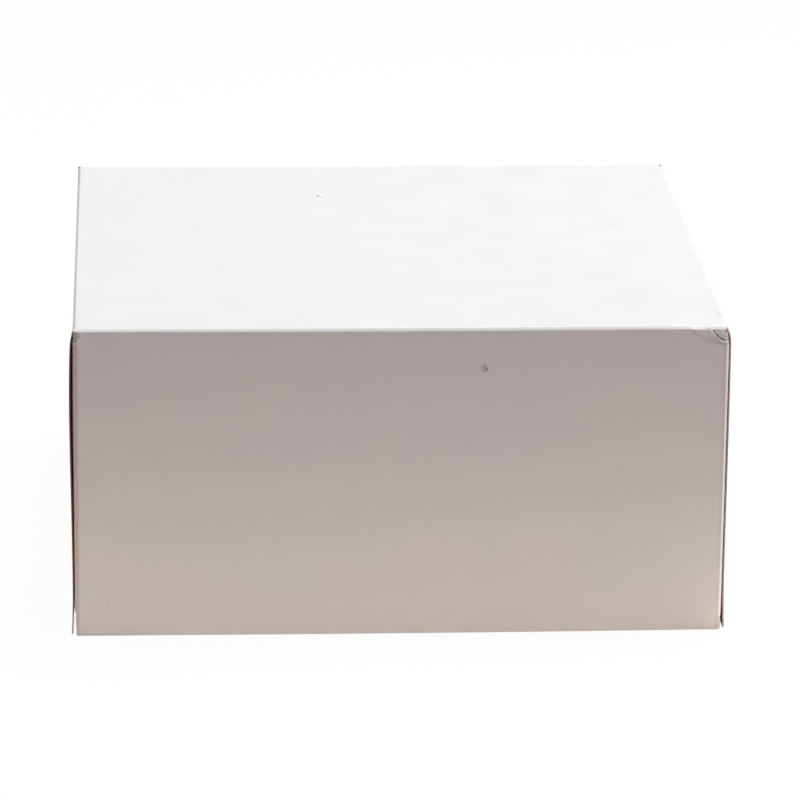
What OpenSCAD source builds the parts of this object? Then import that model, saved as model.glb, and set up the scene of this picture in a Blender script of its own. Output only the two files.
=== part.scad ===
// Two-piece cake box: a full-depth cover standing over a shallow tray.
// Each piece is one sheet of white-lined board, scored, folded up and glued at its corner flaps.
// The origin is on the table under the middle of the box; the photographed face looks along -Y.

/* [Box] */
// Width of the closed box where the side panels lie over the corner flaps
box_w = 225; // [160:1:320]
// Depth of the closed box over the cover's front and back panels
box_d = 225; // [160:1:320]
// Height of the closed box
box_h = 110; // [70:1:180]

/* [Board] */
// Thickness of the board
board_t = 0.5; // [0.3:0.05:0.8]
// Outer radius of a scored fold
fold_r = 1; // [0.9:0.1:1.6]

/* [Corners] */
// Gap between a corner flap and the side panel that covers it
flap_gap = 0.3; // [0.2:0.05:0.6]
// Length of a corner flap, back from the face it folds out of
flap_l = 34; // [26:1:50]
// Radius of the two free corners of a flap
flap_corner_r = 6; // [2:0.5:9]
// Height of end panel left without a flap at its free edge
flap_relief = 8; // [4:0.5:12]
// Height of end panel left without a flap next to its fold
flap_notch = 3; // [2.5:0.1:6]
// Amount by which an end panel narrows where it has no flap
relief_step = 0.4; // [0.1:0.05:0.7]
// Radius of the free corners of an end panel
panel_corner_r = 1; // [0.5:0.1:3]
// Setback of a side panel's cut edges from the front and back faces
side_setback = 1.2; // [1:0.1:2.5]
// Length of side panel, from its fold, that leans out past the corner flaps
lean_l = 6; // [4:0.5:7]

/* [Glue] */
// Length of a glue patch along the side of the box
glue_l = 14; // [6:1:20]
// Height of a glue patch
glue_h = 16; // [6:1:18]
// Distance of a glue patch from the cut edges of its flap
glue_edge = 3; // [1:0.5:6]

/* [Cover] */
// Height of the cover's side panels above the table
side_lift = 0.3; // [0:0.1:1]
// Largest outward bow of the cover's side panels
side_bow = 0.7; // [0:0.1:2]
// Outward flare at the free edge of the cover's side panels
side_flare = 0.4; // [0:0.1:1]

/* [Tray] */
// Height of the tray's walls
tray_h = 45; // [36:1:60]
// Clearance between the tray and the cover, all round
tray_gap = 0.6; // [0.4:0.1:1.2]

/* [Hidden] */
$fn = 64;
// A side panel lies outside the end panels by its own thickness and the gap at the flaps.
side_step = board_t + flap_gap;
// The cover's inner width is taken at its corner flaps, its inner depth at its end panels.
cover_inner_w = end_w(box_w) - 2 * board_t;
cover_inner_d = box_d - 2 * board_t;
tray_w = cover_inner_w - 2 * tray_gap;
tray_d = cover_inner_d - 2 * tray_gap;
// The flare takes up the last part of a side panel.
flare_start = 0.85;
// Steps along the curve of a side panel, closest together next to its fold.
curve_steps = 28;

// Width of the base panel and end panels of a half that is w wide over its side panels.
function end_w(w) = w - 2 * side_step;

// How far a side panel stands out past its fold at a distance s, of its whole rise.
// It leans out over the flaps first, bows most at a quarter of its rise, and may flare at the end.
function stand_out(s, rise, bow, flare) =
    let (u = s / rise)
    side_step * (1 - pow(1 - min(1, s / lean_l), 2))
    + bow * u * pow(1 - u, 3) * 256 / 27
    + flare * pow(max(0, (u - flare_start) / (1 - flare_start)), 2);

// A quarter ring in the first quadrant: the section of a fold.
module fold_section() {
    intersection() {
        difference() {
            circle(fold_r);
            circle(fold_r - board_t);
        }
        square(fold_r);
    }
}

// A rectangle from x = 0 to l and y = y0 to y1, with its two corners at x = l rounded.
module rounded_end(l, y0, y1, r) {
    translate([0, y0]) square([l - r, y1 - y0]);
    translate([0, y0 + r]) square([l, y1 - y0 - 2 * r]);
    for (y = [y0 + r, y1 - r]) translate([l - r, y]) circle(r);
}

// The fold that joins the base panel to a wall standing at y = -d / 2.
module base_fold(d, length) {
    translate([0, fold_r - d / 2, fold_r])
        rotate([90, 0, 90])
            linear_extrude(length, center = true)
                rotate(180) fold_section();
}

// Half of the outline of an end panel, from its middle to one side.
module end_outline(w, h) {
    half_w = end_w(w) / 2;
    translate([0, fold_r]) square([half_w - fold_r, h - fold_r - panel_corner_r]);
    translate([0, fold_r]) square([half_w - relief_step, flap_notch]);
    rounded_end(half_w - relief_step, h - flap_relief, h, panel_corner_r);
}

// One corner flap: the fold at the corner, then the flap along the side of the box.
module corner_flap(w, d, h) {
    half_w = end_w(w) / 2;
    low = fold_r + flap_notch;
    high = h - flap_relief;
    translate([half_w - fold_r, fold_r - d / 2, low])
        linear_extrude(high - low)
            rotate(-90) fold_section();
    translate([half_w - board_t, fold_r - d / 2, 0])
        rotate([90, 0, 90])
            linear_extrude(board_t)
                rounded_end(flap_l - fold_r, low, high, flap_corner_r);
}

// The glue that holds a corner flap to the side panel outside it.
module glue_patch(w, d, h) {
    translate([
        end_w(w) / 2 - board_t / 2,
        flap_l - d / 2 - glue_edge - glue_l,
        h - flap_relief - glue_edge - glue_h
    ])
        cube([side_step, glue_l, glue_h]);
}

// The end panel at y = -d / 2, with the fold under it and its two corner flaps.
module end_panel(w, d, h) {
    base_fold(d, end_w(w));
    for (side = [0, 1]) mirror([side, 0, 0]) {
        translate([0, board_t - d / 2, 0])
            rotate([90, 0, 0])
                linear_extrude(board_t)
                    end_outline(w, h);
        corner_flap(w, d, h);
        glue_patch(w, d, h);
    }
}

// The side panel on the +X side, with the fold under it.
module side_panel(w, d, h, bow, flare) {
    length = d - 2 * side_setback;
    rise = h - fold_r;
    outer = [
        for (i = [0:curve_steps])
            let (s = rise * pow(i / curve_steps, 2))
                [end_w(w) / 2 + stand_out(s, rise, bow, flare), fold_r + s]
    ];
    inner = [for (i = [curve_steps:-1:0]) outer[i] - [board_t, 0]];
    rotate([0, 0, 90]) base_fold(end_w(w), length);
    rotate([90, 0, 0])
        linear_extrude(length, center = true)
            polygon(concat(outer, inner));
}

// One folded half, standing as a tray: base panel, two end panels and two side panels.
module folded_half(w, d, h, side_h, bow, flare) {
    translate([fold_r - end_w(w) / 2, fold_r - d / 2, 0])
        cube([end_w(w) - 2 * fold_r, d - 2 * fold_r, board_t]);
    for (turn = [0, 180]) rotate([0, 0, turn]) {
        end_panel(w, d, h);
        side_panel(w, d, side_h, bow, flare);
    }
}

// The cover is the same construction, deeper and turned over.
module cover() {
    color("white")
        translate([0, 0, box_h])
            mirror([0, 0, 1])
                folded_half(box_w, box_d, box_h, box_h - side_lift, side_bow, side_flare);
}

module tray() {
    color("whitesmoke")
        folded_half(tray_w, tray_d, tray_h, tray_h, 0, 0);
}

cover();
tray();
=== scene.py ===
"""The looks of a two-piece cake box: its folded board, the finishes, the light and the camera."""
import logging
import math
from dataclasses import dataclass, field
from enum import Enum
from typing import Sequence

import bmesh
import bpy
from mathutils import Matrix, Vector, noise


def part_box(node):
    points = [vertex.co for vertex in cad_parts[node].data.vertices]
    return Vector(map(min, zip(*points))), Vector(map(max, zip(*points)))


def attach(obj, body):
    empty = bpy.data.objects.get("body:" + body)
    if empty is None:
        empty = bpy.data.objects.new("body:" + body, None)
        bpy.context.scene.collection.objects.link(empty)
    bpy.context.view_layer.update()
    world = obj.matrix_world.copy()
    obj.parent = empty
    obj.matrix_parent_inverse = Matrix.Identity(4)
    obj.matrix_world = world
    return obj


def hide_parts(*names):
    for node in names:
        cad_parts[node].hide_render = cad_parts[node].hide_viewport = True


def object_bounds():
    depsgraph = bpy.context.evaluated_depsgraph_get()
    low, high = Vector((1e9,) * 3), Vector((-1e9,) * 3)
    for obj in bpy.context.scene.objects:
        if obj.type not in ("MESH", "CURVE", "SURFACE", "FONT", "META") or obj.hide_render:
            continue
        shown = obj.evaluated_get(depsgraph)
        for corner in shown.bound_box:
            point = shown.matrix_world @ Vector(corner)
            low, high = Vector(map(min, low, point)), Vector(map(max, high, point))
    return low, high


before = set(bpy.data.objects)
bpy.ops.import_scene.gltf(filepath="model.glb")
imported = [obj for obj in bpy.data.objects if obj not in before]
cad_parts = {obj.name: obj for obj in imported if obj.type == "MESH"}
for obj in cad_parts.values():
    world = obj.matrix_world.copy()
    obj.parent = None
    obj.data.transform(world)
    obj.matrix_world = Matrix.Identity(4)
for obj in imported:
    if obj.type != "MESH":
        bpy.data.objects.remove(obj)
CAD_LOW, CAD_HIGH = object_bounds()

LOG = logging.getLogger("cake_box")
MM = 0.001

Colour = tuple[float, float, float, float]
Point = tuple[float, float, float]
FlatPoint = tuple[float, float]


def smooth_step(value: float, low: float, high: float) -> float:
    """Rises smoothly from 0 at low to 1 at high, or falls if high is below low.

    Args:
        value: The place to read the step at.
        low: Where the step is 0.
        high: Where the step is 1.

    Returns:
        A number from 0 to 1.
    """
    share = min(1.0, max(0.0, (value - low) / (high - low)))
    return share * share * (3.0 - 2.0 * share)


def bell(value: float, width: float) -> float:
    """A smooth hump that is 1 at 0 and has died out at twice the width."""
    return math.exp(-((value / width) ** 2))


def ruled(start: float, stops: Sequence[FlatPoint]) -> list[float]:
    """Rules lines from a start through each stop in turn.

    Args:
        start: The first line's place.
        stops: Pairs of a place and the widest spacing allowed on the way to it.

    Returns:
        The places of all the lines, in order, the start and the last stop included.
    """
    lines = [start]
    for stop, spacing in stops:
        if stop - lines[-1] < 1e-9:
            continue
        gaps = max(1, math.ceil((stop - lines[-1]) / spacing - 1e-6))
        begin = lines[-1]
        lines += [begin + (stop - begin) * i / gaps for i in range(1, gaps + 1)]
    return lines


class Graph:
    """Adds shader nodes to one node tree and wires them together."""

    def __init__(self, tree: bpy.types.NodeTree) -> None:
        """Starts on a tree.

        Args:
            tree: The node tree of a material, a world or a group.
        """
        self.tree = tree

    def feed(self, value: object, socket: bpy.types.NodeSocket) -> None:
        """Gives a socket its value.

        Args:
            value: Another node's output, or a plain number, colour or vector.
            socket: The input that takes it.
        """
        if isinstance(value, bpy.types.NodeSocket):
            self.tree.links.new(value, socket)
        else:
            socket.default_value = value

    def add(self, kind: str, inputs: dict | None = None, **settings: object) -> bpy.types.Node:
        """Adds one node.

        Args:
            kind: The node's type name.
            inputs: Values for its sockets, by socket name or index.
            **settings: Values for its own properties.

        Returns:
            The new node.
        """
        node = self.tree.nodes.new(kind)
        for name, value in settings.items():
            setattr(node, name, value)
        for name, value in (inputs or {}).items():
            self.feed(value, node.inputs[name])
        return node

    def maths(self, operation: str, *values: object) -> bpy.types.NodeSocket:
        """Adds a Math node and returns its result."""
        return self.add("ShaderNodeMath", dict(enumerate(values)), operation=operation).outputs[0]

    def vector_maths(self, operation: str, *values: object) -> bpy.types.Node:
        """Adds a Vector Math node and returns it."""
        return self.add("ShaderNodeVectorMath", dict(enumerate(values)), operation=operation)

    def remap(
        self, value: object, low: object, high: object, to_low: object = 0.0, to_high: object = 1.0
    ) -> bpy.types.NodeSocket:
        """Adds a smooth Map Range node.

        Args:
            value: What is read.
            low: The value that gives to_low.
            high: The value that gives to_high.
            to_low: Result at and below low.
            to_high: Result at and above high.

        Returns:
            The node's result.
        """
        inputs = {"Value": value, "From Min": low, "From Max": high, "To Min": to_low, "To Max": to_high}
        return self.add("ShaderNodeMapRange", inputs, interpolation_type="SMOOTHSTEP").outputs[0]

    def noise(
        self, where: object, scale: object, detail: float = 2.0, rough: float = 0.5
    ) -> bpy.types.NodeSocket:
        """Adds a Noise Texture node and returns its value.

        Args:
            where: The coordinates it reads.
            scale: Its scale, in waves a metre.
            detail: How many finer layers it has.
            rough: How strong the finer layers are.

        Returns:
            A value round 0.5.
        """
        inputs = {"Vector": where, "Scale": scale, "Detail": detail, "Roughness": rough}
        return self.add("ShaderNodeTexNoise", inputs).outputs["Fac"]

    def mixed(self, share: object, first: object, second: object) -> bpy.types.NodeSocket:
        """Adds a colour Mix node.

        Args:
            share: 0 for the first colour, 1 for the second.
            first: A colour.
            second: A colour.

        Returns:
            The mixed colour.
        """
        node = self.add("ShaderNodeMix", data_type="RGBA", blend_type="MIX")
        self.feed(share, node.inputs[0])
        self.feed(first, node.inputs[6])
        self.feed(second, node.inputs[7])
        return node.outputs[2]

    def group(self, tree: bpy.types.NodeTree, **inputs: object) -> bpy.types.Node:
        """Places a node group.

        Args:
            tree: The group.
            **inputs: Values for its inputs, by name with _ for a blank.

        Returns:
            The group's node.
        """
        node = self.add("ShaderNodeGroup", node_tree=tree)
        for name, value in inputs.items():
            self.feed(value, node.inputs[name.replace("_", " ")])
        return node


class Effect(Enum):
    """The shader effects that several finishes share."""

    GRAIN = "board_grain"
    FLECK = "board_fleck"
    WEAR = "fold_wear"


class Effects:
    """Builds each shared shader effect once, as a node group."""

    SOCKETS = {"Vector": "NodeSocketVector", "Float": "NodeSocketFloat"}

    def __init__(self) -> None:
        """Builds the three groups."""
        self.trees = {
            Effect.GRAIN: self._grain(),
            Effect.FLECK: self._fleck(),
            Effect.WEAR: self._wear(),
        }

    def _blank(
        self, effect: Effect, inputs: dict[str, str], outputs: Sequence[str]
    ) -> tuple[Graph, bpy.types.Node, bpy.types.Node]:
        """Starts a group with its sockets.

        Args:
            effect: Which effect it holds.
            inputs: Socket kinds by input name.
            outputs: Names of its outputs, all plain values.

        Returns:
            The group's graph, its input node and its output node.
        """
        tree = bpy.data.node_groups.new(effect.value, "ShaderNodeTree")
        for name, kind in inputs.items():
            tree.interface.new_socket(name, in_out="INPUT", socket_type=self.SOCKETS[kind])
        for name in outputs:
            tree.interface.new_socket(name, in_out="OUTPUT", socket_type=self.SOCKETS["Float"])
        graph = Graph(tree)
        return graph, graph.add("NodeGroupInput"), graph.add("NodeGroupOutput")

    def _grain(self) -> bpy.types.NodeTree:
        """Fibres that run one way in the sheet, and the cloudy formation of the pulp.

        Returns:
            The group's tree.
        """
        graph, given, result = self._blank(
            Effect.GRAIN,
            {"Flat": "Vector", "Fibre Scale": "Float", "Cloud Scale": "Float", "Stretch": "Vector"},
            ("Fibre", "Cloud"),
        )
        along = graph.vector_maths("MULTIPLY", given.outputs["Flat"], given.outputs["Stretch"]).outputs[0]
        fibre = graph.noise(along, given.outputs["Fibre Scale"], 3.0, 0.65)
        cloud = graph.noise(given.outputs["Flat"], given.outputs["Cloud Scale"], 3.0, 0.55)
        graph.feed(fibre, result.inputs["Fibre"])
        graph.feed(cloud, result.inputs["Cloud"])
        return graph.tree

    def _fleck(self) -> bpy.types.NodeTree:
        """One small mark with a ragged rim.

        Returns:
            The group's tree.
        """
        graph, given, result = self._blank(
            Effect.FLECK,
            {"Place": "Vector", "Centre": "Vector", "Radii": "Vector", "Ragged": "Float"},
            ("Mask",),
        )
        away = graph.vector_maths("SUBTRACT", given.outputs["Place"], given.outputs["Centre"]).outputs[0]
        scaled = graph.vector_maths("DIVIDE", away, given.outputs["Radii"]).outputs[0]
        distance = graph.vector_maths("LENGTH", scaled).outputs["Value"]
        rim = graph.maths("SUBTRACT", graph.noise(scaled, 1.6, 2.0, 0.6), 0.5)
        torn = graph.maths("MULTIPLY_ADD", rim, given.outputs["Ragged"], distance)
        graph.feed(graph.remap(torn, 0.55, 1.1, 1.0, 0.0), result.inputs["Mask"])
        return graph.tree

    def _wear(self) -> bpy.types.NodeTree:
        """Where the white coat has cracked or rubbed through to the core.

        Returns:
            The group's tree.
        """
        graph, given, result = self._blank(
            Effect.WEAR, {"Wear": "Float", "Place": "Vector", "Scale": "Float"}, ("Mask",)
        )
        patch = graph.noise(given.outputs["Place"], given.outputs["Scale"], 3.0, 0.6)
        reach = graph.maths("MULTIPLY_ADD", patch, 0.6, -0.3)
        total = graph.maths("ADD", given.outputs["Wear"], reach)
        graph.feed(graph.remap(total, 0.35, 0.75), result.inputs["Mask"])
        return graph.tree


@dataclass(frozen=True)
class Fleck:
    """A speck, scuff or smudge on the board, or a patch of painted highlight or painted shade, where the
    photograph shows one.
    """

    centre_mm: Point
    radii_mm: Point
    colour: Colour
    strength: float = 1.0
    ragged: float = 0.5


FRONT_Y = CAD_LOW.y / MM
TOP_Z = CAD_HIGH.z / MM
# A fleck's reach through the panel it lies on, well past the panel's own belly or sag.
DEEP_Y = 9.0
DEEP_Z = 5.0
OLIVE: Colour = (0.22, 0.19, 0.11, 1.0)
UMBER: Colour = (0.20, 0.165, 0.13, 1.0)
TAN: Colour = (0.55, 0.36, 0.22, 1.0)
BEIGE: Colour = (0.80, 0.70, 0.58, 1.0)
BRUISE: Colour = (0.50, 0.42, 0.34, 1.0)
# Dark for a nick's mark and its painted shade; grey for specks and for painted shade; near-white for pale
# marks and painted highlights.
NICK_MARK_AND_SHADE: Colour = (0.16, 0.16, 0.165, 1.0)
GREY_SPECK_AND_SHADE: Colour = (0.55, 0.55, 0.555, 1.0)
PALE_MARK_AND_HIGHLIGHT: Colour = (0.97, 0.965, 0.96, 1.0)
COVER_FLECKS = (
    # Painted highlight: a pale band along the whole top fold of the front panel.
    Fleck((0.0, FRONT_Y + 0.55, 109.2), (260.0, 1.1, 1.1), PALE_MARK_AND_HIGHLIGHT, 0.95, 0.1),
    Fleck((28.35, FRONT_Y, 95.2), (1.5, DEEP_Y, 1.5), OLIVE, 0.34, 0.9),
    Fleck((28.45, FRONT_Y, 96.3), (0.22, DEEP_Y, 0.75), UMBER, 0.75, 0.3),
    Fleck((28.65, FRONT_Y, 95.3), (0.34, DEEP_Y, 0.42), UMBER, 0.8, 0.3),
    Fleck((29.15, FRONT_Y, 94.8), (0.36, DEEP_Y, 0.36), OLIVE, 0.9, 0.3),
    Fleck((29.45, FRONT_Y, 95.25), (0.3, DEEP_Y, 0.35), OLIVE, 0.7, 0.3),
    Fleck((28.2, FRONT_Y, 94.2), (0.35, DEEP_Y, 0.3), UMBER, 0.4, 0.5),
    Fleck((29.9, FRONT_Y, 98.1), (0.32, DEEP_Y, 0.2), UMBER, 0.35, 0.3),
    Fleck((30.0, FRONT_Y, 97.2), (0.32, DEEP_Y, 0.16), UMBER, 0.25, 0.3),
    Fleck((28.9, FRONT_Y, 91.4), (0.7, DEEP_Y, 0.2), PALE_MARK_AND_HIGHLIGHT, 0.3, 0.2),
    Fleck((-108.7, FRONT_Y, 84.2), (0.5, DEEP_Y, 0.5), UMBER, 0.14, 0.5),
    Fleck((-100.2, FRONT_Y, 10.5), (0.6, DEEP_Y, 0.6), UMBER, 0.14, 0.5),
    Fleck((76.3, FRONT_Y, 59.0), (0.45, DEEP_Y, 0.45), UMBER, 0.14, 0.5),
    Fleck((52.7, FRONT_Y, 100.1), (0.9, DEEP_Y, 0.2), UMBER, 0.14, 0.4),
    # Painted highlight over the crushed right corner, whose hollow faces up towards the light.
    Fleck((110.2, FRONT_Y, 107.0), (2.2, DEEP_Y, 2.0), PALE_MARK_AND_HIGHLIGHT, 0.75, 0.4),
    Fleck((106.2, FRONT_Y, 107.1), (2.6, DEEP_Y, 1.7), PALE_MARK_AND_HIGHLIGHT, 0.55, 0.6),
    Fleck((111.2, FRONT_Y, 107.9), (1.1, DEEP_Y, 1.4), BEIGE, 0.7, 0.7),
    Fleck((111.6, FRONT_Y, 108.3), (0.7, DEEP_Y, 0.75), TAN, 1.0, 0.2),
    Fleck((-110.9, FRONT_Y, 107.6), (1.5, DEEP_Y, 1.7), BRUISE, 0.62, 0.5),
    Fleck((-111.2, FRONT_Y, 106.0), (0.9, DEEP_Y, 1.9), BRUISE, 0.6, 0.5),
    Fleck((-111.2, FRONT_Y, 108.7), (0.6, 2.0, 0.7), TAN, 0.4, 0.5),
    # A small nick on the top drawn in colour only: a dark dot and grey tail that are its mark and its
    # painted shade together, and two pale flecks that are its painted highlight.
    Fleck((-21.9, 67.6, TOP_Z), (0.42, 1.3, DEEP_Z), NICK_MARK_AND_SHADE, 0.75, 0.3),
    Fleck((-21.1, 66.5, TOP_Z), (0.8, 0.9, DEEP_Z), GREY_SPECK_AND_SHADE, 0.55, 0.4),
    Fleck((-20.1, 65.8, TOP_Z), (0.9, 0.9, DEEP_Z), GREY_SPECK_AND_SHADE, 0.4, 0.4),
    Fleck((-21.6, 71.3, TOP_Z), (0.6, 1.5, DEEP_Z), PALE_MARK_AND_HIGHLIGHT, 0.9, 0.3),
    Fleck((-20.9, 69.0, TOP_Z), (0.7, 1.1, DEEP_Z), PALE_MARK_AND_HIGHLIGHT, 0.8, 0.3),
    Fleck((21.9, 15.6, TOP_Z), (0.5, 1.2, DEEP_Z), GREY_SPECK_AND_SHADE, 0.12, 0.5),
    Fleck((40.1, 4.0, TOP_Z), (0.5, 1.2, DEEP_Z), GREY_SPECK_AND_SHADE, 0.12, 0.5),
    Fleck((47.4, -33.1, TOP_Z), (0.5, 1.2, DEEP_Z), GREY_SPECK_AND_SHADE, 0.12, 0.5),
    Fleck((59.9, -49.3, TOP_Z), (0.5, 1.2, DEEP_Z), GREY_SPECK_AND_SHADE, 0.12, 0.5),
    # Painted shade along the right fold of the top, near the front corner, where the fold turns away from
    # the light.
    Fleck((110.0, -97.9, TOP_Z), (1.4, 5.0, DEEP_Z), GREY_SPECK_AND_SHADE, 0.22, 0.9),
    Fleck((109.0, -93.0, TOP_Z), (0.8, 3.0, DEEP_Z), GREY_SPECK_AND_SHADE, 0.15, 0.9),
)


@dataclass(frozen=True)
class BoardFinish:
    """What the three finishes of the board share: its grain, its relief and its low shine."""

    name: str
    fibre_scale: float
    cloud_scale: float
    stretch: Point
    bump: float
    bump_depth: float
    shine: float

    def _start(self) -> tuple[bpy.types.Material, Graph]:
        """Starts the material.

        Returns:
            The material and the graph of its nodes.
        """
        material = bpy.data.materials.new(self.name)
        material.use_nodes = True
        return material, Graph(material.node_tree)

    def _grain(self, graph: Graph, effects: Effects, where: bpy.types.NodeSocket) -> bpy.types.Node:
        """Places the board's grain.

        Args:
            graph: The material's graph.
            effects: The shared shader effects.
            where: The coordinates that the grain follows.

        Returns:
            The grain's node.
        """
        return graph.group(
            effects.trees[Effect.GRAIN],
            Flat=where,
            Fibre_Scale=self.fibre_scale,
            Cloud_Scale=self.cloud_scale,
            Stretch=self.stretch,
        )

    def _close(self, graph: Graph, colour: object, rough: object, height: object) -> None:
        """Wires the surface to the material's shader.

        Args:
            graph: The material's graph.
            colour: The surface's colour.
            rough: Its roughness.
            height: Its relief.
        """
        shader = graph.tree.nodes["Principled BSDF"]
        graph.feed(colour, shader.inputs["Base Color"])
        graph.feed(rough, shader.inputs["Roughness"])
        relief = {"Height": height, "Strength": self.bump, "Distance": self.bump_depth}
        graph.feed(graph.add("ShaderNodeBump", relief).outputs[0], shader.inputs["Normal"])
        shader.inputs["Specular IOR Level"].default_value = self.shine


@dataclass(frozen=True)
class LinerFinish(BoardFinish):
    """The smooth white coated face, on the outside of both halves."""

    name: str = "white_liner"
    fibre_scale: float = 900.0
    cloud_scale: float = 55.0
    stretch: Point = (0.35, 1.0, 1.0)
    bump: float = 0.35
    bump_depth: float = 0.02 * MM
    shine: float = 0.35
    white: Colour = (0.872, 0.862, 0.858, 1.0)
    shade: Colour = (0.835, 0.825, 0.822, 1.0)
    warm: Colour = (0.880, 0.855, 0.835, 1.0)
    warm_scale: float = 34.0
    warm_share: float = 0.6
    thread_share: float = 0.06
    core: Colour = (0.82, 0.68, 0.50, 1.0)
    # Painted shade along the upright scores.
    score_shade_colour: Colour = (0.66, 0.60, 0.61, 1.0)
    # Painted shade in the creases of the crushed corners.
    crease_shade_colour: Colour = (0.10, 0.095, 0.09, 1.0)
    roughness: float = 0.52
    rough_spread: float = 0.12
    worn_roughness: float = 0.3
    worn_depth: float = 0.6
    worn_scale: float = 700.0
    flecks: tuple[Fleck, ...] = ()

    def make(self, effects: Effects) -> bpy.types.Material:
        """Builds the material.

        Args:
            effects: The shared shader effects.

        Returns:
            The finished material.
        """
        material, graph = self._start()
        place = graph.add("ShaderNodeTexCoord").outputs["Object"]
        flat = graph.add("ShaderNodeUVMap", uv_map=FoldedSheet.UV_NAME).outputs["UV"]
        grain = self._grain(graph, effects, flat)
        fibre, cloud = grain.outputs["Fibre"], grain.outputs["Cloud"]
        colour = graph.mixed(cloud, self.shade, self.white)
        blush = graph.remap(graph.noise(place, self.warm_scale, 1.0), 0.4, 0.62, 0.0, self.warm_share)
        colour = graph.mixed(blush, colour, self.warm)
        colour = graph.mixed(graph.remap(fibre, 0.55, 0.8, 0.0, self.thread_share), colour, self.core)
        # Painted shade along the upright scores, where the face turns away from the light.
        colour = graph.mixed(self._marked(graph, FoldedSheet.SCORE_SHADE_NAME), colour, self.score_shade_colour)
        # Painted shade in the creases of the crushed corners.
        colour = graph.mixed(self._marked(graph, FoldedSheet.CREASE_SHADE_NAME), colour, self.crease_shade_colour)
        for fleck in self.flecks:
            colour = self._flecked(graph, effects, place, colour, fleck)
        worn = graph.group(
            effects.trees[Effect.WEAR],
            Wear=self._marked(graph, FoldedSheet.WEAR_NAME),
            Place=place,
            Scale=self.worn_scale,
        ).outputs["Mask"]
        colour = graph.mixed(worn, colour, self.core)
        smoothest = self.roughness - self.rough_spread / 2.0
        rough = graph.maths("MULTIPLY_ADD", cloud, self.rough_spread, smoothest)
        rough = graph.maths("MULTIPLY_ADD", worn, self.worn_roughness, rough)
        relief = graph.maths("MULTIPLY_ADD", fibre, 0.5, cloud)
        self._close(graph, colour, rough, graph.maths("MULTIPLY_ADD", worn, -self.worn_depth, relief))
        return material

    def _marked(self, graph: Graph, name: str) -> bpy.types.NodeSocket:
        """Reads one of the sheet's own marks, from 0 to 1."""
        return graph.add("ShaderNodeAttribute", attribute_name=name).outputs["Fac"]

    def _flecked(
        self, graph: Graph, effects: Effects, place: object, colour: object, fleck: Fleck
    ) -> bpy.types.NodeSocket:
        """Lays one fleck on the face.

        Args:
            graph: The material's graph.
            effects: The shared shader effects.
            place: The coordinates that the fleck's place is given in.
            colour: The face's colour without it.
            fleck: The fleck.

        Returns:
            The colour with the fleck.
        """
        mask = graph.group(
            effects.trees[Effect.FLECK],
            Place=place,
            Centre=tuple(c * MM for c in fleck.centre_mm),
            Radii=tuple(r * MM for r in fleck.radii_mm),
            Ragged=fleck.ragged,
        ).outputs["Mask"]
        return graph.mixed(graph.maths("MULTIPLY", mask, fleck.strength), colour, fleck.colour)


@dataclass(frozen=True)
class KraftFinish(BoardFinish):
    """The brown uncoated back of the board, seen inside both halves."""

    name: str = "brown_back"
    fibre_scale: float = 420.0
    cloud_scale: float = 90.0
    stretch: Point = (0.16, 1.0, 1.0)
    bump: float = 0.5
    bump_depth: float = 0.05 * MM
    shine: float = 0.25
    brown: Colour = (0.37, 0.225, 0.15, 1.0)
    dark: Colour = (0.26, 0.15, 0.10, 1.0)
    light: Colour = (0.50, 0.35, 0.25, 1.0)
    hair_share: float = 0.7

    def make(self, effects: Effects) -> bpy.types.Material:
        """Builds the material.

        Args:
            effects: The shared shader effects.

        Returns:
            The finished material.
        """
        material, graph = self._start()
        flat = graph.add("ShaderNodeUVMap", uv_map=FoldedSheet.UV_NAME).outputs["UV"]
        grain = self._grain(graph, effects, flat)
        fibre = grain.outputs["Fibre"]
        colour = graph.mixed(graph.remap(grain.outputs["Cloud"], 0.3, 0.7), self.dark, self.brown)
        colour = graph.mixed(graph.remap(fibre, 0.56, 0.74, 0.0, self.hair_share), colour, self.light)
        self._close(graph, colour, graph.remap(fibre, 0.3, 0.7, 0.92, 0.78), fibre)
        return material


@dataclass(frozen=True)
class CutEdgeFinish(BoardFinish):
    """The tan plies that show along the board's die-cut edges, with shade painted on those on the left of
    the box, where they sit in the dark slots.
    """

    name: str = "cut_edge"
    fibre_scale: float = 2600.0
    cloud_scale: float = 260.0
    stretch: Point = (1.0, 1.0, 0.3)
    bump: float = 0.6
    bump_depth: float = 0.05 * MM
    shine: float = 0.2
    tan: Colour = (0.50, 0.34, 0.28, 1.0)
    pale: Colour = (0.70, 0.54, 0.48, 1.0)
    # Painted shade on the left cut edges, fading out at the foot, where the table lights them.
    edge_shade: Colour = (0.11, 0.05, 0.03, 1.0)
    edge_shade_share: float = 0.85
    edge_shade_w: float = 8.0 * MM
    plain_foot: float = 5.0 * MM
    shaded_foot: float = 9.0 * MM

    def make(self, effects: Effects) -> bpy.types.Material:
        """Builds the material.

        Args:
            effects: The shared shader effects.

        Returns:
            The finished material.
        """
        material, graph = self._start()
        place = graph.add("ShaderNodeTexCoord").outputs["Object"]
        grain = self._grain(graph, effects, place)
        fibre = grain.outputs["Fibre"]
        colour = graph.mixed(graph.remap(fibre, 0.35, 0.7), self.tan, self.pale)
        parts = graph.add("ShaderNodeSeparateXYZ", {0: place})
        # Painted shade on the cut edges at the left, faded out near the foot.
        inner_x = CAD_LOW.x + self.edge_shade_w
        on_left = graph.remap(parts.outputs["X"], CAD_LOW.x, inner_x, self.edge_shade_share, 0.0)
        above = graph.remap(parts.outputs["Z"], self.plain_foot, self.shaded_foot)
        colour = graph.mixed(graph.maths("MULTIPLY", on_left, above), colour, self.edge_shade)
        self._close(graph, colour, graph.remap(grain.outputs["Cloud"], 0.3, 0.7, 0.95, 0.8), fibre)
        return material


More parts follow.
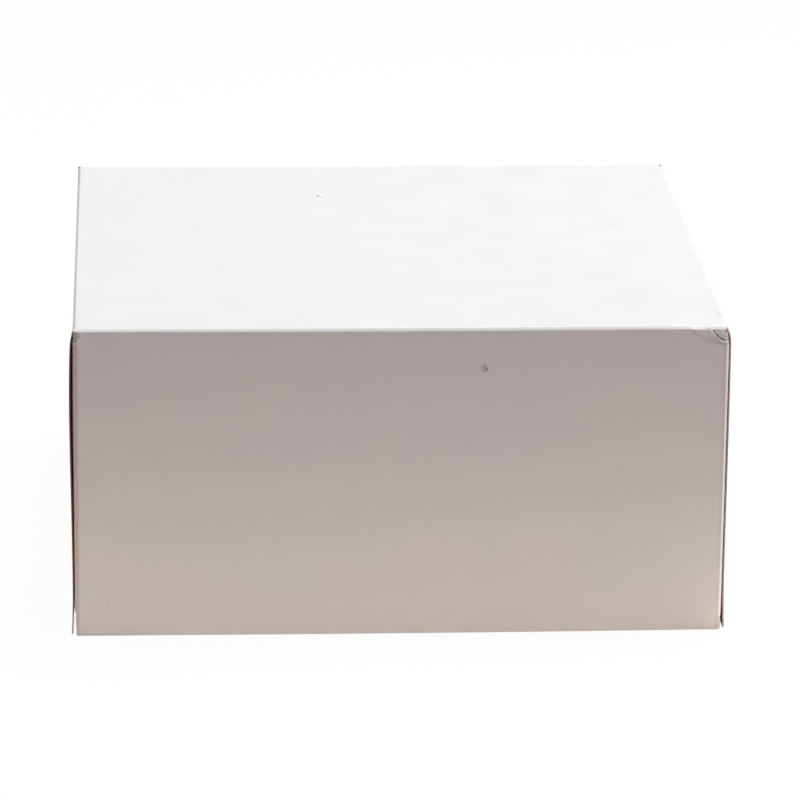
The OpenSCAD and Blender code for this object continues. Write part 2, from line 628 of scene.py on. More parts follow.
@dataclass(frozen=True)
class Fold:
    """A scored right-angle fold: a flat facet at 45 degrees between two tight bends."""

    leg: float = 1.15 * MM
    bend_r: float = 0.55 * MM

    @property
    def bend_l(self) -> float:
        """Length of the outer face round one bend."""
        return self.bend_r * math.pi / 4.0

    @property
    def facet_l(self) -> float:
        """Length of the flat facet."""
        tangent = self.bend_r * math.tan(math.pi / 8.0)
        return (self.leg - tangent) * math.sqrt(2.0) - 2.0 * tangent

    @property
    def length(self) -> float:
        """Length of the outer face round the whole fold."""
        return 2.0 * self.bend_l + self.facet_l

    def at(self, s: float) -> tuple[float, float, float]:
        """Follows the outer face round the fold.

        Args:
            s: Distance along the face from the fold's start.

        Returns:
            The distance out, the height gained, and the angle turned.
        """
        if s > self.length / 2.0:
            rise, out, angle = self.at(self.length - s)
            return self.leg - out, self.leg - rise, math.pi / 2.0 - angle
        angle = min(s, self.bend_l) / self.bend_r
        run = max(0.0, s - self.bend_l) * math.sqrt(0.5)
        return self.bend_r * math.sin(angle) + run, self.bend_r * (1.0 - math.cos(angle)) + run, angle


@dataclass(frozen=True)
class Board:
    """The board that both halves are cut from, and how it is scored and flapped."""

    thickness: float = 0.5 * MM
    fold: Fold = Fold()
    side_step: float = 0.8 * MM
    flap_l: float = 34.0 * MM
    flap_corner_r: float = 6.0 * MM
    flap_notch: float = 2.6 * MM
    side_setback: float = 1.3 * MM

    @property
    def fold_line(self) -> float:
        """Distance along the flat sheet from a fold's start to its end panel's cut edge."""
        return self.fold.length * FoldedSheet.EDGE_LINE / FoldedSheet.FOLD_LINES


@dataclass(frozen=True)
class PanelEnd:
    """How one side edge of an end panel departs from straight, from the fold to the free edge."""

    relief: float = 0.3 * MM
    flap_relief: float = 8.0 * MM
    corner_r: float = 0.8 * MM
    swell: float = 0.0
    swell_from: float = 5.0 * MM
    swell_full: float = 25.0 * MM
    swell_to: float = 200.0 * MM

    def out(self, drop: float) -> float:
        """How far the edge stands out of its line at a distance from the fold."""
        rise = smooth_step(drop, self.swell_from, self.swell_full)
        return self.swell * rise * smooth_step(drop, self.swell_to, self.swell_full)


@dataclass(frozen=True)
class SideCurve:
    """How a side panel stands out past the fold above it.

    Its two ends stand out over the corner folds, and between them it hangs closer in.
    """

    # Brings the peak of the bow's curve, u times the cube of (1 - u), to 1.
    BOW_SCALE = 256.0 / 27.0

    step: float
    end_lean_l: float = 6.0 * MM
    lean_l: float = 45.0 * MM
    end_l: float = 11.0 * MM
    bow: float = 0.0
    flare: float = 0.0
    flare_from: float = 0.85
    lift: float = 0.3 * MM

    def _lean(self, s: float, length: float) -> float:
        """Leans out by the whole step over a length, steepest at its start."""
        return self.step * (1.0 - (1.0 - min(1.0, s / length)) ** 2)

    def reach(self, s: float, rise: float, from_end: float) -> float:
        """How far the panel stands out.

        Args:
            s: Distance from the fold along the panel.
            rise: The panel's whole length from its fold.
            from_end: Distance in from the panel's nearer cut end.

        Returns:
            The distance past the fold's own outer face.
        """
        s = max(0.0, s)
        u = min(1.0, s / rise)
        end = bell(max(0.0, from_end), self.end_l)
        bow = self.bow * u * (1.0 - u) ** 3 * self.BOW_SCALE
        flare = self.flare * max(0.0, (u - self.flare_from) / (1.0 - self.flare_from)) ** 2
        at_end = self._lean(s, self.end_lean_l) + bow
        return end * at_end + (1.0 - end) * self._lean(s, self.lean_l) + flare


@dataclass(frozen=True)
class Crease:
    """A crushed line across a corner of the front panel, in millimetres on the flat sheet.

    Its points are distances in from the panel's side edge and down from the start of the fold.
    """

    LIP_OFFSET = 0.6
    # The painted shade along a groove: its width against the groove's, and the distances in from the side
    # edge where it begins and where it is full.
    SHADE_WIDTH = 0.8
    UNSHADED_EDGE = 0.9
    SHADED_FROM = 2.1

    path: tuple[FlatPoint, ...]
    groove: float
    groove_w: float
    lip: float = 0.0
    lip_w: float = 0.3
    fall: float = 0.0
    fall_l: float = 1.0
    fade: float = 1.5
    # How much shade is painted along the groove, and how fast it fades past the inner end.
    crease_shade: float = 0.0
    crease_shade_fade: float = 1.0

    def beyond(self, p: float, q: float) -> float:
        """Signed distance of a point past the line.

        Args:
            p: Distance in from the panel's side edge.
            q: Distance down from the start of the fold.

        Returns:
            Millimetres from the line, above 0 on the corner's side.
        """
        best, signed = math.inf, 0.0
        for (ap, aq), (bp, bq) in zip(self.path, self.path[1:]):
            dp, dq = bp - ap, bq - aq
            t = ((p - ap) * dp + (q - aq) * dq) / (dp * dp + dq * dq)
            t = min(1.0, max(0.0, t))
            gap = math.hypot(p - ap - t * dp, q - aq - t * dq)
            if gap < best:
                best = gap
                side = dp * (q - aq) - dq * (p - ap)
                corner = dq * ap - dp * aq
                signed = math.copysign(gap, side * corner)
        return signed

    def shift(self, p: float, q: float) -> float:
        """How far the crushed board stands out of its plane.

        Args:
            p: Distance in from the panel's side edge.
            q: Distance down from the start of the fold.

        Returns:
            Millimetres, above 0 outwards.
        """
        past = self.beyond(p, q)
        lip = self.lip * bell(past + self.groove_w + self.LIP_OFFSET * self.lip_w, self.lip_w)
        groove = self.groove * bell(past, self.groove_w)
        return self.near(p) * (lip - groove - self.fall * min(max(past, 0.0), self.fall_l))

    def near(self, p: float) -> float:
        """Fades the crease out past its inner end."""
        return smooth_step(p, self.path[0][0] + self.fade, self.path[0][0] - self.fade)

    def shade_at(self, p: float, q: float) -> float:
        """How much shade is painted along the crease at a place.

        Args:
            p: Distance in from the panel's side edge.
            q: Distance down from the start of the fold.

        Returns:
            From 0 to 1.
        """
        if not self.crease_shade:
            return 0.0
        inner = smooth_step(p, self.path[0][0], self.path[0][0] - self.crease_shade_fade)
        outer = smooth_step(p, self.UNSHADED_EDGE, self.SHADED_FROM)
        return self.crease_shade * inner * outer * bell(self.beyond(p, q), self.SHADE_WIDTH * self.groove_w)


# The crushed right front corner. Where a crease has them, its last two values set the shade painted in its
# groove and how it fades.
CRUSHED_RIGHT = (
    Crease(
        ((13.0, 1.5), (11.6, 2.5), (9.9, 4.0), (8.2, 5.15), (5.5, 6.3), (3.2, 6.8)),
        0.2, 0.17, lip=0.05, lip_w=0.3, fall=0.2, fall_l=2.2, crease_shade=0.3, crease_shade_fade=1.5,
    ),
    Crease(
        ((9.4, 3.7), (7.3, 4.75), (4.6, 5.9), (3.0, 6.3)),
        0.14, 0.15, fall=0.04, fall_l=2.0, crease_shade=0.22, crease_shade_fade=1.5,
    ),
    Crease(
        ((6.6, 0.9), (5.5, 1.7), (4.1, 3.6), (2.6, 5.1), (1.5, 5.6), (0.1, 5.8)),
        0.6, 0.16, lip=0.62, lip_w=0.23, fall=-0.03, fall_l=2.5, fade=0.7, crease_shade=0.97, crease_shade_fade=2.8,
    ),
    Crease(((8.2, 0.15), (6.5, 0.2), (4.2, 0.3)), 0.14, 0.2, fade=0.4, crease_shade=0.75, crease_shade_fade=0.8),
    Crease(((4.4, 1.6), (2.9, 2.9), (1.6, 4.2), (0.6, 4.6)), 0.22, 0.14, lip=0.22, lip_w=0.2, fade=0.5),
    Crease(((3.1, 0.7), (1.9, 2.1), (0.9, 3.0)), 0.22, 0.13, lip=0.22, lip_w=0.2, fade=0.5),
)
CRUSHED_LEFT = (
    Crease(
        ((2.9, 0.3), (2.6, 1.5), (2.35, 2.7), (1.9, 3.7), (1.3, 4.6), (0.2, 5.4)),
        0.2, 0.16, lip=0.4, lip_w=0.25, fall=0.05, fall_l=2.0, fade=0.3,
    ),
)


@dataclass(frozen=True)
class Crush:
    """The crushed corners of one end panel: their creases, and how far the corner has sunk."""

    creases: tuple[Crease, ...] = ()
    reach_p: float = 16.0
    reach_q: float = 12.0
    blend_q: float = 4.0
    ruffle: float = 0.0
    sink: float = 0.0
    sink_l: float = 32.0 * MM

    def shift(self, p: float, q: float) -> float:
        """How far the board stands out of its plane, in millimetres.

        Args:
            p: Distance in from the panel's side edge, in millimetres.
            q: Distance down from the start of the fold, in millimetres, below 0 on the base panel.

        Returns:
            Millimetres, above 0 outwards.
        """
        if not self.creases or p > self.reach_p or not -self.blend_q < q < self.reach_q:
            return 0.0
        p, down = max(p, 0.0), max(q, 0.0)
        total = sum(crease.shift(p, down) for crease in self.creases)
        inside = smooth_step(self.creases[0].beyond(p, down), 0.3, 1.2)
        total += self.ruffle * inside * noise.noise(Vector((p * 1.3, down * 1.3, 3.7)))
        return total * smooth_step(q, -self.blend_q, 0.4) * smooth_step(q, self.reach_q, self.reach_q - 3.0)

    def shade_at(self, p: float, q: float) -> float:
        """How much shade is painted along the creases at a place.

        Args:
            p: Distance in from the panel's side edge, in millimetres.
            q: Distance down from the start of the fold, in millimetres.

        Returns:
            From 0 to 1.
        """
        if p > self.reach_p or not 0.0 < q < self.reach_q:
            return 0.0
        return max((crease.shade_at(max(p, 0.0), q) for crease in self.creases), default=0.0)


@dataclass(frozen=True)
class ScoreWear:
    """How the white coat has worn along the scores of a half that is handled, and how much shade is painted
    beside its upright scores.
    """

    ridge: float = 0.04
    left: float = 0.6
    left_more: float = 0.34
    more_from: float = 40.0 * MM
    more_full: float = 85.0 * MM
    right: float = 0.12
    plain_foot: float = 4.0 * MM
    worn_foot: float = 16.0 * MM
    # Painted shade along the upright scores: its place and width on the left, and its strength, place and
    # width on the right.
    score_shade_in: float = 0.25 * MM
    score_shade_w: float = 0.45
    right_score_shade: float = 0.35
    right_score_shade_in: float = 0.3
    right_score_shade_w: float = 0.7

    def through(self, left: bool, past: float, drop: float, foot: float) -> float:
        """How far an upright score is worn through.

        Args:
            left: Whether it is the score on the left.
            past: Place across the fold, in fold lengths from its start.
            drop: Distance from the fold above.
            foot: Distance from the panel's free edge.

        Returns:
            From 0 to 1.
        """
        worn = self.right
        if left:
            worn = self.left + self.left_more * smooth_step(drop, self.more_from, self.more_full)
        worn *= smooth_step(foot, self.plain_foot, self.worn_foot)
        return worn * smooth_step(past, 0.12, 0.4) * smooth_step(past, 1.5, 1.1)

    def score_shade(self, left: bool, inside: float) -> float:
        """How much shade is painted on the face along an upright score.

        Args:
            left: Whether it is the score on the left.
            inside: Millimetres from the fold's start in towards the panel's middle.

        Returns:
            From 0 to 1.
        """
        if left:
            return bell(inside, self.score_shade_w)
        return self.right_score_shade * bell(inside - self.right_score_shade_in, self.right_score_shade_w)


@dataclass
class FoldedSheet:
    """One folded half of the box: base panel, two end panels with corner flaps, two side panels.

    It is worked out standing open side up, with its base panel on z = 0, from a flat sheet
    whose u runs along X and v along Y, and then turned over if it is the cover.
    """

    UV_NAME = "flat_sheet"
    WEAR_NAME = "wear"
    SCORE_SHADE_NAME = "score_shade"
    CREASE_SHADE_NAME = "crease_shade"
    FOLD_LINES = 8
    EDGE_LINE = 5
    PLAIN_CORNER = 3.0 * MM
    CRUMPLE_H = 9.0 * MM
    TUCK_GAP = 0.06 * MM
    TUCK_FROM = 1.5 * MM
    TUCK_FULL = 6.5 * MM
    FLAP_BLEND_TOP = 1.8 * MM
    FLAP_BLEND_FOOT = 2.0 * MM
    SWELL_W = 14.0 * MM
    BELLY_POWER = 1.3
    DROOP_TO = 15.0 * MM
    RIPPLE_FROM = 30.0 * MM
    RIPPLE_SCALE = 16.0
    SHARP_DEG = 50.0

    name: str
    body: str
    node: str
    slot: str
    board: Board
    panel_w: float
    depth: float
    height: float
    left: SideCurve
    right: SideCurve
    front_left: PanelEnd = PanelEnd()
    front_right: PanelEnd = PanelEnd()
    back_end: PanelEnd = PanelEnd()
    crushed_left: Crush = Crush()
    crushed_right: Crush = Crush()
    turned_over: bool = False
    belly: float = 0.0
    skew: float = 0.0
    sag: float = 0.0
    back_hold: float = 0.0
    wave: float = 0.06 * MM
    coarse: float = 7.0 * MM
    wear: ScoreWear | None = None
    finishes: list[bpy.types.Material] = field(default_factory=list)

    def __post_init__(self) -> None:
        """Works out where the folds start and the panels end on the flat sheet."""
        fold = self.board.fold
        self.u_fold = self.panel_w / 2.0 - fold.leg
        self.v_fold = self.depth / 2.0 - fold.leg
        self.u_edge = self.u_fold + self.board.fold_line
        self.v_end = self.v_fold + fold.length + self.height - fold.leg
        self.u_flap = self.u_fold + fold.length + self.board.flap_l - fold.leg
        self.v_flap_low = self.v_fold + fold.length + self.board.flap_notch

    def side_at(self, u: float) -> SideCurve:
        """The side panel on the same side as u."""
        return self.right if u > 0.0 else self.left

    def panel_end(self, u: float, v: float) -> PanelEnd:
        """The side edge of the end panel that a place is nearest to.

        Args:
            u: Place across the sheet.
            v: Place along the sheet.

        Returns:
            How that edge departs from straight.
        """
        if v > 0.0:
            return self.back_end
        return self.front_right if u > 0.0 else self.front_left

    def flap_high(self, u: float, v: float) -> float:
        """Where the corner flap nearest to a place ends along the flat sheet."""
        return self.v_end - self.panel_end(u, v).flap_relief

    def _half_columns(self, side: SideCurve, crush: Crush) -> list[float]:
        """The lines across one half of the flat sheet.

        Args:
            side: The side panel on that half.
            crush: The crushed front corner on that half.

        Returns:
            Their distances from the sheet's middle.
        """
        fold = self.board.fold
        fold_end = self.u_fold + fold.length
        u_end = fold_end + self.height - side.lift - fold.leg
        crumple_w = crush.reach_p * MM if crush.creases else self.PLAIN_CORNER
        return ruled(0.0, [
            (self.u_fold - max(crumple_w, 12.0 * MM), self.coarse),
            (self.u_fold - crumple_w, 2.0 * MM),
            (self.u_fold, 0.75 * MM),
            (fold_end, fold.length / self.FOLD_LINES),
            (fold_end + 10.0 * MM, 1.25 * MM),
            (self.u_flap - self.board.flap_corner_r, 4.0 * MM),
            (self.u_flap, 1.0 * MM),
            (u_end - 24.0 * MM, 6.0 * MM),
            (u_end, 2.4 * MM),
        ])

    def columns(self) -> list[float]:
        """The lines across the flat sheet, along u.

        Returns:
            Their places, from left to right.
        """
        left = self._half_columns(self.left, self.crushed_left)
        right = self._half_columns(self.right, self.crushed_right)
        return [-u for u in reversed(left)] + right[1:]

    def _half_rows(self, crumple_h: float, left: PanelEnd, right: PanelEnd) -> list[float]:
        """The lines along the front or the back half of the flat sheet.

        Args:
            crumple_h: How far past the fold the lines stay close together.
            left: The left edge of that half's end panel.
            right: Its right edge.

        Returns:
            Their distances from the sheet's middle.
        """
        fold = self.board.fold
        fold_end = self.v_fold + fold.length
        corner_r = max(end.corner_r for end in (self.front_left, self.front_right, self.back_end))
        first_flap = self.v_end - max(left.flap_relief, right.flap_relief)
        return ruled(0.0, [
            (self.depth / 2.0 - 40.0 * MM, self.coarse),
            (self.depth / 2.0 - 12.0 * MM, 3.5 * MM),
            (self.depth / 2.0 - self.board.side_setback, 1.2 * MM),
            (self.v_fold, self.board.side_setback),
            (fold_end, fold.length / self.FOLD_LINES),
            (self.v_flap_low, 0.65 * MM),
            (fold_end + crumple_h, 0.65 * MM),
            (first_flap - self.board.flap_corner_r, 4.0 * MM),
            (first_flap, 1.0 * MM),
            (self.v_end - min(left.flap_relief, right.flap_relief), 1.0 * MM),
            (self.v_end - corner_r, 0.9 * MM),
            (self.v_end, corner_r / 5.0),
        ])

    def rows(self) -> list[float]:
        """The lines along the flat sheet, along v.

        Returns:
            Their places, from front to back.
        """
        crumple_h = self.CRUMPLE_H if self.crushed_right.creases else self.PLAIN_CORNER
        front = self._half_rows(crumple_h, self.front_left, self.front_right)
        back = self._half_rows(self.PLAIN_CORNER, self.back_end, self.back_end)
        return [-v for v in reversed(front)] + back[1:]

    def is_board(self, u: float, v: float) -> bool:
        """Whether the die leaves board at a place on the flat sheet.

        Args:
            u: Place across the sheet.
            v: Place along the sheet.

        Returns:
            True on a panel or a flap.
        """
        flap_high = self.flap_high(u, v)
        u, v = abs(u), abs(v)
        if u < self.u_fold or v < self.depth / 2.0 - self.board.side_setback:
            return True
        if v < self.v_fold:
            return False
        return u < self.u_edge or (u < self.u_flap and self.v_flap_low < v < flap_high)

    def trimmed(self, u: float, v: float) -> FlatPoint:
        """Draws a place on the flat sheet in to the cut outline, with its rounded corners.

        Args:
            u: Place across the sheet.
            v: Place along the sheet.

        Returns:
            The place after trimming.
        """
        au, av = abs(u), abs(v)
        flap_high = self.flap_high(u, v)
        if av > self.v_fold and au > self.u_edge + 1e-7:
            radius = self.board.flap_corner_r
            past = min(radius, au - (self.u_flap - radius))
            if past > 0.0:
                half = (flap_high - self.v_flap_low) / 2.0
                middle = (flap_high + self.v_flap_low) / 2.0
                inset = radius - math.sqrt(radius ** 2 - past ** 2)
                av = middle + (av - middle) * (half - inset) / half
        elif av > flap_high:
            end = self.panel_end(u, v)
            inset = end.relief * smooth_step(av, flap_high, self.v_end)
            past = av - (self.v_end - end.corner_r)
            if past > 0.0:
                inset += end.corner_r - math.sqrt(max(0.0, end.corner_r ** 2 - past ** 2))
            au -= inset * smooth_step(au, self.u_edge - 4.0 * MM, self.u_edge)
        return math.copysign(au, u), math.copysign(av, v)

    def wrapped(self, s: float, start: float) -> tuple[float, float, float]:
        """Wraps a distance along the flat sheet round one fold.

        Args:
            s: Distance from the sheet's middle.
            start: Where the fold starts.

        Returns:
            The distance out, the height gained, and the angle turned.
        """
        fold, past = self.board.fold, s - start
        if past <= 0.0:
            return s, 0.0, 0.0
        if past < fold.length:
            out, rise, turn = fold.at(past)
            return start + out, rise, turn
        return start + fold.leg, fold.leg + past - fold.length, math.pi / 2.0

    def flap_share(self, rise: float, end: PanelEnd) -> float:
        """How far the side edge of an end panel is folded back into a flap.

        Args:
            rise: Height of the place above the base panel.
            end: The side edge.

        Returns:
            From 0 for straight to 1 for folded back.
        """
        low = self.board.fold.leg + self.board.flap_notch
        high = self.height - end.flap_relief
        from_fold = smooth_step(rise, low - self.FLAP_BLEND_TOP, low)
        return from_fold * smooth_step(rise, high + self.FLAP_BLEND_FOOT, high)

    def dent_at(self, u: float, v: float) -> Vector:
        """How far a crushed corner moves the board, standing open side up.

        Args:
            u: Place across the flat sheet.
            v: Place along the flat sheet.

        Returns:
            The move.
        """
        crush = self.crushed_right if u > 0.0 else self.crushed_left
        if v > 0.0 or not crush.creases:
            return Vector((0.0, 0.0, 0.0))
        out = crush.shift((self.u_edge - abs(u)) / MM, (-v - self.v_fold) / MM) * MM
        _, rise_u, _ = self.wrapped(abs(u), self.u_fold)
        if -v <= self.v_fold:
            return Vector((0.0, 0.0, -out * smooth_step(rise_u, 3.0 * MM, 0.0)))
        _, rise_v, turn = self.wrapped(-v, self.v_fold)
        out *= smooth_step(rise_u * self.flap_share(rise_v, self.panel_end(u, v)), 10.0 * MM, 1.0 * MM)
        return Vector((0.0, -out * math.sin(turn), -out * math.cos(turn)))

    def crease_shade_at(self, u: float, v: float) -> float:
        """How much shade is painted along the creases of the crushed corners, from 0 to 1."""
        crush = self.crushed_right if u > 0.0 else self.crushed_left
        return crush.shade_at((self.u_edge - abs(u)) / MM, (-v - self.v_fold) / MM) if v < 0.0 else 0.0

    def sunk(self, place: Vector) -> float:
        """How far the crushed corners have sunk.

        Args:
            place: A folded place, open side up.

        Returns:
            The distance towards the open side.
        """
        crush = self.crushed_right if place.x > 0.0 else self.crushed_left
        across = smooth_step(abs(place.x), self.panel_w / 2.0 - crush.sink_l, self.panel_w / 2.0)
        along = smooth_step(-place.y, self.depth / 2.0 - crush.sink_l, self.depth / 2.0)
        return crush.sink * across * along * smooth_step(place.z, crush.sink_l, 0.0)

    def end_panel_at(self, u: float, v: float) -> Vector:
        """Folds up a place on an end panel or one of its corner flaps.

        Args:
            u: Place across the flat sheet.
            v: Place along the flat sheet.

        Returns:
            Its place, open side up.
        """
        fold, half_w = self.board.fold, self.panel_w / 2.0
        out_u, rise_u, _ = self.wrapped(abs(u), self.u_fold)
        out_v, rise_v, turn = self.wrapped(abs(v), self.v_fold)
        share = self.flap_share(rise_v, self.panel_end(u, v))
        x, back = abs(u) + (out_u - abs(u)) * share, rise_u * share
        swell = self.panel_end(u, v).out(rise_v)
        x += swell * smooth_step(abs(u), self.u_fold - self.SWELL_W, self.u_fold)
        across = max(0.0, 1.0 - (x / half_w) ** 2)
        bulge = self.belly * across * (rise_v / self.height) ** self.BELLY_POWER
        bulge += self.ripple(u, v) * across * smooth_step(rise_v, fold.leg, self.RIPPLE_FROM)
        y = out_v - back + bulge * math.sin(turn)
        from_end = self.from_end(v, out_v - back)
        room = self.side_at(u).reach(rise_v - fold.leg, self.height - fold.leg, from_end)
        tuck = self.board.thickness + self.TUCK_GAP + swell - room
        x -= tuck * smooth_step(back, self.TUCK_FROM, self.TUCK_FULL)
        droop = self.sag * (0.5 + 0.45 * smooth_step(rise_v, 0.0, fold.leg))
        droop *= across * smooth_step(rise_v, self.DROOP_TO, fold.leg)
        z = rise_v - bulge * math.cos(turn) + droop
        place = Vector((math.copysign(x, u), math.copysign(y, v), z))
        if v < 0.0:
            place.z *= 1.0 - self.skew / self.height * (place.x + half_w) / self.panel_w
        return place

    def from_end(self, v: float, along: float) -> float:
        """Distance in from a side panel's cut end, and more at the back, where it is held in."""
        return self.depth / 2.0 - self.board.side_setback - along + (self.back_hold if v > 0.0 else 0.0)

    def side_panel_at(self, u: float, v: float) -> Vector:
        """Folds up a place on a side panel.

        Args:
            u: Place across the flat sheet.
            v: Place along the flat sheet.

        Returns:
            Its place, open side up.
        """
        fold = self.board.fold
        side = self.side_at(u)
        out, rise, turn = self.wrapped(abs(u), self.u_fold)
        x = out + side.reach(rise - fold.leg, self.height - side.lift - fold.leg, self.from_end(v, abs(v)))
        along = max(0.0, 1.0 - (2.0 * v / self.depth) ** 2)
        x += abs(self.ripple(u, v)) * along * smooth_step(rise, fold.leg, self.RIPPLE_FROM)
        z = rise + 0.5 * self.sag * along * math.cos(turn) ** 2
        return Vector((math.copysign(x, u), v, z))

    def base_at(self, u: float, v: float) -> Vector:
        """Places a point of the base panel, which sags a little between its folds.

        Args:
            u: Place across the flat sheet.
            v: Place along the flat sheet.

        Returns:
            Its place, open side up.
        """
        across = 1.0 - (2.0 * u / self.panel_w) ** 2
        along = 1.0 - (2.0 * v / self.depth) ** 2
        z = 0.5 * self.sag * (across + along)
        return Vector((u, v, z + abs(self.ripple(u, v)) * across * along))

    def ripple(self, u: float, v: float) -> float:
        """The board's own slight waviness."""
        return self.wave * noise.noise(Vector((u, v, self.height)) * self.RIPPLE_SCALE)

    def folded(self, u: float, v: float) -> Vector:
        """Folds a place on the flat sheet up into the box.

        Args:
            u: Place across the sheet.
            v: Place along the sheet.

        Returns:
            Its place, open side up.
        """
        if abs(v) > self.v_fold - 1e-6:
            place = self.end_panel_at(u, v)
        elif abs(u) > self.u_fold:
            place = self.side_panel_at(u, v)
        else:
            place = self.base_at(u, v)
        place.z += self.sunk(place)
        return place

    def wear_at(self, u: float, v: float) -> float:
        """How worn through the white face is, from 0 to 1.

        Args:
            u: Place across the flat sheet.
            v: Place along the flat sheet.

        Returns:
            0 on a clean panel, and up to 1 where the coat is broken.
        """
        if self.wear is None:
            return 0.0
        fold_l = self.board.fold.length
        past = (abs(u) - self.u_fold) / fold_l
        drop = abs(v) - self.v_fold - fold_l
        if past < 0.0 or drop < self.board.flap_notch:
            return self.wear.ridge * bell((abs(v) - self.v_fold) / fold_l - 0.5, 0.5)
        return self.wear.through(u < 0.0, past, drop, self.height - drop)

    def score_shade_at(self, u: float, v: float) -> float:
        """How much shade is painted on the white face along its upright score.

        Args:
            u: Place across the flat sheet.
            v: Place along the flat sheet.

        Returns:
            From 0 to 1.
        """
        if self.wear is None or abs(v) < self.v_flap_low or abs(u) < self.u_fold - 3.0 * MM:
            return 0.0
        return self.wear.score_shade(u < 0.0, (self.u_fold + self.wear.score_shade_in - abs(u)) / MM)

    def _refine(self, sheet: bmesh.types.BMesh, crush: Crush, side: float) -> None:
        """Divides the flat sheet more finely under a crushed corner.

        Args:
            sheet: The flat sheet.
            crush: The crushed corner.
            side: -1 for the left corner of the front panel, 1 for the right.
        """
        if not crush.creases:
            return
        wide = max(point[0] for crease in crush.creases for point in crease.path) + 1.0
        deep = max(point[1] for crease in crush.creases for point in crease.path) + 1.0
        edges = set()
        for face in sheet.faces:
            u, v, _ = face.calc_center_median()
            p, q = (self.u_edge - side * u) / MM, (-v - self.v_fold) / MM
            if -1.2 < p < wide and -0.5 < q < deep:
                edges.update(face.edges)
        bmesh.ops.subdivide_edges(sheet, edges=list(edges), cuts=4, use_grid_fill=True)

    def build(self) -> bpy.types.Object:
        """Cuts, folds and thickens the sheet.

        Returns:
            The finished object, riding on its body.
        """
        columns, rows = self.columns(), self.rows()
        sheet = bmesh.new()
        bmesh.ops.create_grid(sheet, x_segments=len(columns) - 1, y_segments=len(rows) - 1, size=0.5)
        for vertex in sheet.verts:
            i = round((vertex.co.x + 0.5) * (len(columns) - 1))
            j = round((vertex.co.y + 0.5) * (len(rows) - 1))
            vertex.co = (columns[i], rows[j], 0.0)
        waste = [face for face in sheet.faces if not self.is_board(*face.calc_center_median().xy)]
        bmesh.ops.delete(sheet, geom=waste, context="FACES")
        self._refine(sheet, self.crushed_left, -1.0)
        self._refine(sheet, self.crushed_right, 1.0)
        flats = self._fold_up(sheet)
        mesh = bpy.data.meshes.new(self.name)
        sheet.to_mesh(mesh)
        sheet.free()
        piece = bpy.data.objects.new(self.name, mesh)
        bpy.context.scene.collection.objects.link(piece)
        self._thicken(piece)
        self._crush_corners(piece, flats)
        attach(piece, self.body)
        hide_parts(self.node)
        LOG.info("%s: %d faces", self.name, len(piece.data.polygons))
        return piece

    def _fold_up(self, sheet: bmesh.types.BMesh) -> list[FlatPoint]:
        """Marks the flat sheet with its own coordinates, its wear and where shade is painted, and folds it
        up.

        Args:
            sheet: The cut flat sheet.

        Returns:
            Where each of its points was on the flat sheet.
        """
        flats = []
        flat_layer = sheet.loops.layers.uv.new(self.UV_NAME)
        wear_layer = sheet.verts.layers.float.new(self.WEAR_NAME)
        score_shade_layer = sheet.verts.layers.float.new(self.SCORE_SHADE_NAME)
        crease_shade_layer = sheet.verts.layers.float.new(self.CREASE_SHADE_NAME)
        for vertex in sheet.verts:
            u, v = self.trimmed(*vertex.co.xy)
            for loop in vertex.link_loops:
                loop[flat_layer].uv = (u, v)
            vertex[wear_layer] = self.wear_at(u, v)
            vertex[score_shade_layer] = self.score_shade_at(u, v)
            vertex[crease_shade_layer] = self.crease_shade_at(u, v)
            vertex.co = self.folded(u, v)
            flats.append((u, v))
        for face in sheet.faces:
            face.smooth = True
        if self.turned_over:
            flip = Matrix.Translation((0.0, 0.0, self.height)) @ Matrix.Scale(-1.0, 4, (0.0, 0.0, 1.0))
            bmesh.ops.transform(sheet, matrix=flip, verts=sheet.verts)
        else:
            bmesh.ops.reverse_faces(sheet, faces=sheet.faces)
        return flats

    def _crush_corners(self, piece: bpy.types.Object, flats: Sequence[FlatPoint]) -> None:
        """Pushes the crushed corners in, both faces of the board alike.

        Args:
            piece: The thickened sheet, whose inner points follow its outer ones in the same order.
            flats: Where each outer point was on the flat sheet.
        """
        points = piece.data.vertices
        for index, (u, v) in enumerate(flats):
            shift = self.dent_at(u, v)
            if shift.length > 0.0:
                shift.z = -shift.z if self.turned_over else shift.z
                points[index].co += shift
                points[index + len(flats)].co += shift
        piece.data.set_sharp_from_angle(angle=math.radians(self.SHARP_DEG))

    def _thicken(self, piece: bpy.types.Object) -> None:
        """Gives the sheet its board thickness, brown back and cut edges, as one closed mesh.

        Args:
            piece: The folded sheet, its outer face modelled.
        """
        for finish in self.finishes:
            piece.data.materials.append(finish)
        wall = piece.modifiers.new("board", "SOLIDIFY")
        wall.thickness = self.board.thickness
        wall.offset = -1.0
        wall.material_offset = 1
        wall.material_offset_rim = 2
        bpy.context.view_layer.update()
        depsgraph = bpy.context.evaluated_depsgraph_get()
        solid = bpy.data.meshes.new_from_object(piece.evaluated_get(depsgraph))
        piece.modifiers.clear()
        thin = piece.data
        piece.data = solid
        bpy.data.meshes.remove(thin)
        solid.name = self.name


